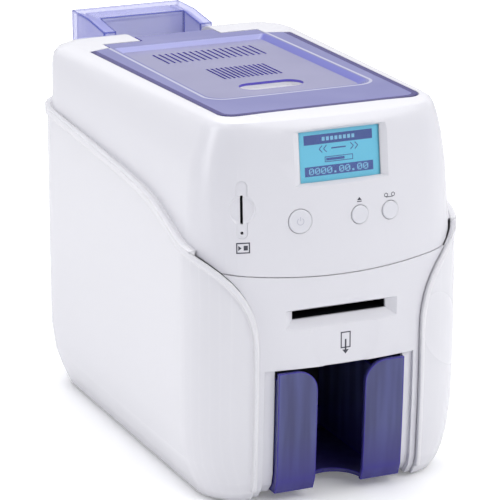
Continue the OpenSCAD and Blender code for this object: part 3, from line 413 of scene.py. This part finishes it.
def soften(node, angle, weigh):
    """Smooth shading over the facets of a shell, with its real edges, past that angle, kept sharp."""
    node.data.polygons.foreach_set("use_smooth", [True] * len(node.data.polygons))
    weld = node.modifiers.new("weld", "WELD")
    weld.merge_threshold = 0.00002
    split = node.modifiers.new("split", "EDGE_SPLIT")
    split.split_angle = math.radians(angle)
    split.use_edge_sharp = False
    if weigh:
        weighted = node.modifiers.new("weighted", "WEIGHTED_NORMAL")
        weighted.weight = 80
        weighted.thresh = 0.05


for name, node in NODES.items():
    if name == "top_lid":
        soften(node, angle=15, weigh=False)
    else:
        soften(node, angle=32, weigh=True)


# ---------- pieces made here ----------

def solid_piece(name, bm, material, body, place=None):
    """Makes a mesh into a piece that rides on a CAD body."""
    bmesh.ops.recalc_face_normals(bm, faces=bm.faces)
    mesh = bpy.data.meshes.new(name)
    bm.to_mesh(mesh)
    bm.free()
    piece = bpy.data.objects.new(name, mesh)
    scene.collection.objects.link(piece)
    if place is not None:
        piece.matrix_world = place
    mesh.materials.append(material)
    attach(piece, body)


def band_of_faces(bm, low, high):
    """Joins two closed loops of as many corners by four-sided faces."""
    for i in range(len(low)):
        j = (i + 1) % len(low)
        bm.faces.new((low[i], low[j], high[j], high[i]))


def skin_of(node):
    """A node's surface, for finding where a line meets it."""
    mesh = NODES[node].data
    return BVHTree.FromPolygons([v.co for v in mesh.vertices], [p.vertices for p in mesh.polygons])


# ---------- flat outlines for the marks, as (x, z) in millimetres ----------

def bar(x0, z0, x1, z1):
    return [(x0, z0), (x1, z0), (x1, z1), (x0, z1)]


def frame_bars(x0, z0, x1, z1, width):
    """The four bars of a frame whose outside runs from (x0, z0) to (x1, z1)."""
    return [
        bar(x0, z0, x1, z0 + width),
        bar(x0, z1 - width, x1, z1),
        bar(x0, z0 + width, x0 + width, z1 - width),
        bar(x1 - width, z0 + width, x1, z1 - width),
    ]


def stroke(points, width):
    """A line of even width through points, one four-sided piece for each stretch."""
    shapes = []
    for (xa, za), (xb, zb) in zip(points, points[1:]):
        length = math.hypot(xb - xa, zb - za)
        nx, nz = -(zb - za) / length * width / 2, (xb - xa) / length * width / 2
        shapes.append([(xa + nx, za + nz), (xa - nx, za - nz), (xb - nx, zb - nz), (xb + nx, zb + nz)])
    return shapes


def arc_points(cx, cz, radius, start, end, steps):
    """Points on an arc about (cx, cz), from one angle to the other in degrees."""
    angles = [math.radians(start + (end - start) * i / steps) for i in range(steps + 1)]
    return [(cx + radius * math.cos(a), cz + radius * math.sin(a)) for a in angles]


DOT_COLUMNS, DOT_ROWS = 5, 7
DOTS_OF_SIGN = {
    "0": ("01110", "10001", "10011", "10101", "11001", "10001", "01110"),
    ".": ("00000", "00000", "00000", "00000", "00000", "01100", "01100"),
}


def pixels(text, x, z, pitch, high):
    """Plain signs in dots, their lower left corner at (x, z)."""
    shapes = []
    tall = high / DOT_ROWS
    for k, sign in enumerate(text):
        for row, line in enumerate(DOTS_OF_SIGN[sign]):
            run = None
            for column in range(DOT_COLUMNS + 1):
                lit = column < DOT_COLUMNS and line[column] == "1"
                if lit and run is None:
                    run = column
                if not lit and run is not None:
                    left = x + k * pitch * (DOT_COLUMNS + 1) + run * pitch
                    low = z + (DOT_ROWS - 1 - row) * tall
                    top = z + (DOT_ROWS - row) * tall
                    shapes.append(bar(left, low, left + (column - run) * pitch, top))
                    run = None
    return shapes


# ---------- marks on the front ----------

# In millimetres. The front leans back above SLOT_Z by a power curve and falls back below it by a
# parabola, and it is bowed across by the radius BOW_R.
HALF_DEPTH = 169.0
SLOT_Z, LEAN_K, LEAN_POWER, BELLY_K, BOW_R = 115.0, 0.0048, 1.6, 0.00035, 290.0
CELL = 0.8           # the largest cell of a mark on a curved wall
MARK_THICK = 0.08
MARK_START = 8       # how far before the front the lines that seat a mark start


def on_front(x, z):
    """Frame of the casing's front at that place: X along it, Y into the machine, Z up it."""
    if z > SLOT_Z:
        y = LEAN_K * (z - SLOT_Z) ** LEAN_POWER
        lean = math.atan(LEAN_K * LEAN_POWER * (z - SLOT_Z) ** (LEAN_POWER - 1))
    else:
        y = BELLY_K * (SLOT_Z - z) ** 2
        lean = -math.atan(2 * BELLY_K * (SLOT_Z - z))
    bow = BOW_R - math.sqrt(BOW_R * BOW_R - x * x)
    turn = math.copysign(math.asin(abs(x) / BOW_R), x)
    place = Matrix.Translation(Vector((x, y + bow - HALF_DEPTH, z)) * MM)
    return place @ Matrix.Rotation(turn, 4, "Z") @ Matrix.Rotation(-lean, 4, "X")


def cut_small(shape):
    """Cuts a four-sided shape into small cells, so that it follows a curved wall."""
    if len(shape) != 4:
        return [shape]
    a, b, c, d = (Vector(p) for p in shape)
    across = max(1, math.ceil(max((b - a).length, (c - d).length) / CELL))
    up = max(1, math.ceil(max((d - a).length, (c - b).length) / CELL))

    def at(i, j):
        return tuple(a.lerp(b, i / across).lerp(d.lerp(c, i / across), j / up))

    return [[at(i, j), at(i + 1, j), at(i + 1, j + 1), at(i, j + 1)]
            for i in range(across) for j in range(up)]


def printed(name, shapes, place, on, material, body, proud=0.05):
    """A thin printed mark of flat outlines.

    Each of its corners stands proud of the node named on by that many millimetres, where a line
    along the place's own Y meets it.
    """
    skin = skin_of(on)
    inward = place.to_3x3() @ Vector((0, 1, 0))
    back = place.inverted()

    def depth_at(x, z):
        hit = skin.ray_cast(place @ Vector((x * MM, -MARK_START * MM, z * MM)), inward)[0]
        return (back @ hit).y / MM - proud

    bm = bmesh.new()
    for outline in [cell for shape in shapes for cell in cut_small(shape)]:
        corners = [(x, depth_at(x, z), z) for x, z in outline]
        near = [bm.verts.new((x * MM, y * MM, z * MM)) for x, y, z in corners]
        far = [bm.verts.new((x * MM, (y + MARK_THICK) * MM, z * MM)) for x, y, z in corners]
        bm.faces.new(near)
        bm.faces.new(far[::-1])
        band_of_faces(bm, near, far)
    solid_piece(name, bm, material, body, place)


DARK_DOTS = moulded("display_dots", (0.085, 0.12, 0.36), 0.4, grain=700, shift=0.12)
LIGHT_DOTS = moulded("display_gaps", (0.30, 0.62, 0.80), 0.4, grain=700, shift=0.08)
INK = moulded("grey_ink", (0.055, 0.055, 0.075), 0.5, grain=900, shift=0.15)
FAINT = moulded("faint_mark", (0.56, 0.565, 0.63), 0.4, grain=900, shift=0.05)

# The display: a dark bar above and below, two arrows each side of a dash, and a framed gauge.
screen = on_front(1.5, 208.0)
dark = [bar(-21.9, 6.7, 21.7, 12.3), bar(-21.9, -11.6, 21.7, -6.0)]
for side in (-1, 1):
    for start in (7.6, 10.4):
        arrow = [(side * start, 5.7), (side * (start + 1.9), 3.7), (side * start, 1.7)]
        dark += stroke(arrow, 0.55)
dark += [bar(-4.6, 3.3, 4.6, 4.1)]
dark += frame_bars(-9.0, -4.2, 9.0, -0.9, 0.45) + [bar(-8.1, -3.3, 3.6, -1.8)]
printed("display_dark_dots", dark, screen, "lcd_module", DARK_DOTS, "casing")

# Light zeros on its lower bar and light blocks on its upper one, proud of the dark dots.
light = pixels("0000.00.00", -19.3, -10.7, pitch=0.64, high=3.8)
light += [bar(-10.4 + i * 2.7, 8.4, -8.6 + i * 2.7, 10.6) for i in range(8)]
printed("display_light_dots", light, screen, "lcd_module", LIGHT_DOTS, "casing",
        proud=0.14)

# The keys' marks: an open ring with a dash, a triangle over a dash, and two reels with a ribbon.
KEY_Z = 172.0
power = stroke(arc_points(0, 0, 2.0, 125, 415, 18), 0.42) + [bar(-0.21, 0.3, 0.21, 2.6)]
printed("power_symbol", power, on_front(-26.1, KEY_Z), "power_button", FAINT, "power_key")

eject = [[(-1.5, 8.4), (1.5, 8.4), (0, 10.2)], bar(-1.5, 7.4, 1.5, 7.9)]
printed("eject_mark", eject, on_front(11.4, KEY_Z), "upper_housing", INK, "casing")

reels = []
for cx in (-2.4, 2.4):
    reels += stroke(arc_points(cx, 9.0, 1.1, 0, 360, 14), 0.4)
reels += [bar(-2.4, 7.55, 2.4, 7.95)]
printed("ribbon_mark", reels, on_front(31.6, KEY_Z), "upper_housing", INK, "casing")

# A card with a chip and an arrow under the upright slot, and one with an arrow over the tray.
chip_card = frame_bars(-4.0, -3.2, 4.0, 3.2, 0.7)
chip_card += [bar(0.3, -1.4, 2.7, 1.4), [(-2.8, -1.5), (-0.9, 0.0), (-2.8, 1.5)]]
printed("chip_card_mark", chip_card, on_front(-60.0, 159.0), "upper_housing", INK, "casing")

tray_card = frame_bars(-3.2, -3.6, 3.2, 6.4, 0.7)
tray_card += [bar(-0.5, -4.8, 0.5, 1.8), [(-2.1, -4.6), (2.1, -4.6), (0.0, -7.2)]]
printed("tray_card_mark", tray_card, on_front(2.4, 96.0), "front_cover", INK, "casing")


# ---------- finger cup under the lid's hole ----------

# In millimetres on the lid's top plane: the hole's middle from the lid's front, the rim's height,
# and the half length, radius and height over the rim of the outer and the inner wall.
CUP_BACK, CUP_RIM = 75.0, -4.08
CUP_OUTER = ((22.0, 10.5, 0.0), (22.0, 10.5, -2.6), (21.0, 9.5, -4.4))
CUP_INNER = ((20.8, 9.3, 0.0), (20.8, 9.3, -2.2), (19.8, 8.3, -3.3))


def stadium(half_long, radius):
    """The outline of a long hole with round ends."""
    reach = half_long - radius
    return arc_points(reach, 0, radius, -90, 90, 10) + arc_points(-reach, 0, radius, 90, 270, 10)


def finger_cup():
    """A shallow white cup under the finger hole, its rim against the underside of the lid's middle."""
    bm = bmesh.new()

    def shell(levels):
        loops = []
        for half_long, radius, w in levels:
            loops.append([bm.verts.new((u * MM, (CUP_BACK + v) * MM, (CUP_RIM + w) * MM))
                          for u, v in stadium(half_long, radius)])
        for low, high in zip(loops, loops[1:]):
            band_of_faces(bm, low, high)
        bm.faces.new(loops[-1])
        return loops[0]

    band_of_faces(bm, shell(CUP_OUTER), shell(CUP_INNER))
    lean = Matrix.Rotation(-math.atan(LID_SLOPE), 4, "X")
    place = Matrix.Translation((0, LID_FRONT, LID_HIGH)) @ lean
    solid_piece("finger_cup", bm, WHITE, "lid", place)


# ---------- tongues that close the side panels' seams ----------

TONGUE_DROP, TONGUE_HEIGHT = 0.4, 1.2     # below the panel's edge, in millimetres
TONGUE_REACH = 0.005                      # the widest gap that it closes, in metres
TONGUE_SINK = 0.0001                      # how far it goes into the housing, in metres
OUTSIDE = 0.25                            # a place outside the casing, in metres from its middle
EDGE_CUTS = 5                             # stations for each stretch of the edge's curve


def bezier(a, b, c, d, steps):
    """Points on a cubic curve from a to d."""
    points = []
    for t in (i / steps for i in range(steps + 1)):
        weights = ((1 - t) ** 3, 3 * (1 - t) ** 2 * t, 3 * (1 - t) * t * t, t ** 3)
        points.append(tuple(sum(w * k for w, k in zip(weights, along)) for along in zip(a, b, c, d)))
    return points


def seam_tongue(name, side, panel, edge):
    """A tongue just under a side panel's edge, from its inner face to the housing behind it.

    The edge is given as (y, z) in millimetres, y from the front.
    """
    cover, behind = skin_of(panel), skin_of("upper_housing")
    inward = Vector((-side, 0, 0))
    stations = []
    for (y0, z0), (y1, z1) in zip(edge, edge[1:]):
        length = math.hypot(y1 - y0, z1 - z0)
        corners = []
        for drop in (TONGUE_DROP, TONGUE_DROP + TONGUE_HEIGHT):
            y = (y0 + y1) / 2 + (z1 - z0) / length * drop
            z = (z0 + z1) / 2 - (y1 - y0) / length * drop
            start = Vector((0, y - HALF_DEPTH, z)) * MM - inward * OUTSIDE
            wall = behind.ray_cast(start, inward)[0]
            if wall is None:
                break
            shell = cover.ray_cast(wall - inward * TONGUE_SINK, -inward)[0]
            if shell is None or (shell - wall).length > TONGUE_REACH:
                break
            corners += [wall + inward * TONGUE_SINK, shell - inward * 3 * TONGUE_SINK]
        if len(corners) == 4:
            stations.append(corners)
    bm = bmesh.new()
    rows = [[bm.verts.new(corner) for corner in (a, b, d, c)] for a, b, c, d in stations]
    for low, high in zip(rows, rows[1:]):
        band_of_faces(bm, low, high)
    bm.faces.new(rows[0])
    bm.faces.new(rows[-1])
    solid_piece(name, bm, WHITE, "casing")


# The side panels' upper edge as the CAD has it, y from the front and z in millimetres.
bends = bezier((26, 155.2), (46, 160.5), (68, 171.5), (88, 175), 7)
bends += bezier((88, 175), (113, 179.6), (190, 184), (287.5, 190), 8)[1:]
side_edge = [tuple(p + (q - p) * i / EDGE_CUTS for p, q in zip(a, b))
             for a, b in zip(bends, bends[1:]) for i in range(EDGE_CUTS)]

finger_cup()
for word, side in (("left", -1), ("right", 1)):
    seam_tongue(word + "_seam_tongue", side, word + "_side_panel", side_edge)


# ---------- floor, backdrop and lamps ----------

FLOOR_HALF = 12.0


def stage_floor():
    """A pale floor that keeps the object's shadow near it and turns white further away."""
    mesh = bpy.data.meshes.new("floor")
    corners = [(-FLOOR_HALF, -FLOOR_HALF, 0), (FLOOR_HALF, -FLOOR_HALF, 0),
               (FLOOR_HALF, FLOOR_HALF, 0), (-FLOOR_HALF, FLOOR_HALF, 0)]
    mesh.from_pydata(corners, [], [(0, 1, 2, 3)])
    floor = bpy.data.objects.new("floor", mesh)
    scene.collection.objects.link(floor)
    g = material_graph("floor_paper")
    g.feed("Base Color", g.mix(g.noise(3, 2), (0.94, 0.94, 0.945), (0.96, 0.96, 0.965)))
    g.set(Roughness=0.9, Specular_IOR_Level=0.1, Emission_Color=(1, 1, 1, 1))
    away = g.add("ShaderNodeVectorMath", operation="LENGTH")
    g.link(g.place(), away.inputs[0])
    glow = g.span(away.outputs["Value"], 0.3, 0.8, 0.16, 1.0)
    seen = g.add("ShaderNodeLightPath").outputs["Is Camera Ray"]
    g.feed("Emission Strength", g.calc("MULTIPLY", glow, seen))
    mesh.materials.append(g.owner)


def backdrop():
    """White where the camera looks, and a soft light that is darker from the front left."""
    g = Graph(bpy.data.worlds.new("studio"))
    scene.world = g.owner
    g.tree.nodes.clear()

    aim = g.add("ShaderNodeVectorMath", operation="DOT_PRODUCT")
    g.link(g.add("ShaderNodeTexCoord").outputs["Generated"], aim.inputs[0])
    aim.inputs[1].default_value = (-0.64, -0.77, 0.0)
    dim = g.span(aim.outputs["Value"], 0.25, 0.9)
    soft = g.add("ShaderNodeBackground")
    soft.inputs["Strength"].default_value = 0.67
    g.link(g.mix(dim, (0.95, 0.955, 1.0), (0.16, 0.17, 0.26)), soft.inputs["Color"])

    white = g.add("ShaderNodeBackground")
    white.inputs["Color"].default_value = (1, 1, 1, 1)
    white.inputs["Strength"].default_value = 1.0

    path = g.add("ShaderNodeLightPath")
    seen = g.calc("MAXIMUM", path.outputs["Is Camera Ray"], path.outputs["Is Transmission Ray"])
    either = g.add("ShaderNodeMixShader")
    for slot, source in enumerate((seen, soft.outputs[0], white.outputs[0])):
        g.link(source, either.inputs[slot])
    g.link(either.outputs[0], g.add("ShaderNodeOutputWorld").inputs[0])


def lamp(name, at, aim, size, power):
    data = bpy.data.lights.new(name, "AREA")
    data.shape = "RECTANGLE"
    data.size, data.size_y = size
    data.energy = power
    light = bpy.data.objects.new(name, data)
    scene.collection.objects.link(light)
    light.location = at
    light.rotation_euler = (Vector(aim) - Vector(at)).to_track_quat("-Z", "Y").to_euler()


stage_floor()
backdrop()
lamp("key_light", at=(0.9, -1.5, 1.45), aim=(0, 0, 0.1), size=(1.8, 1.4), power=16.5)
lamp("top_light", at=(-0.1, 0.2, 1.7), aim=(0, 0, 0.1), size=(1.4, 1.4), power=17)
lamp("side_light", at=(-1.7, -0.1, 0.7), aim=(0, 0, 0.12), size=(0.6, 1.3), power=7)
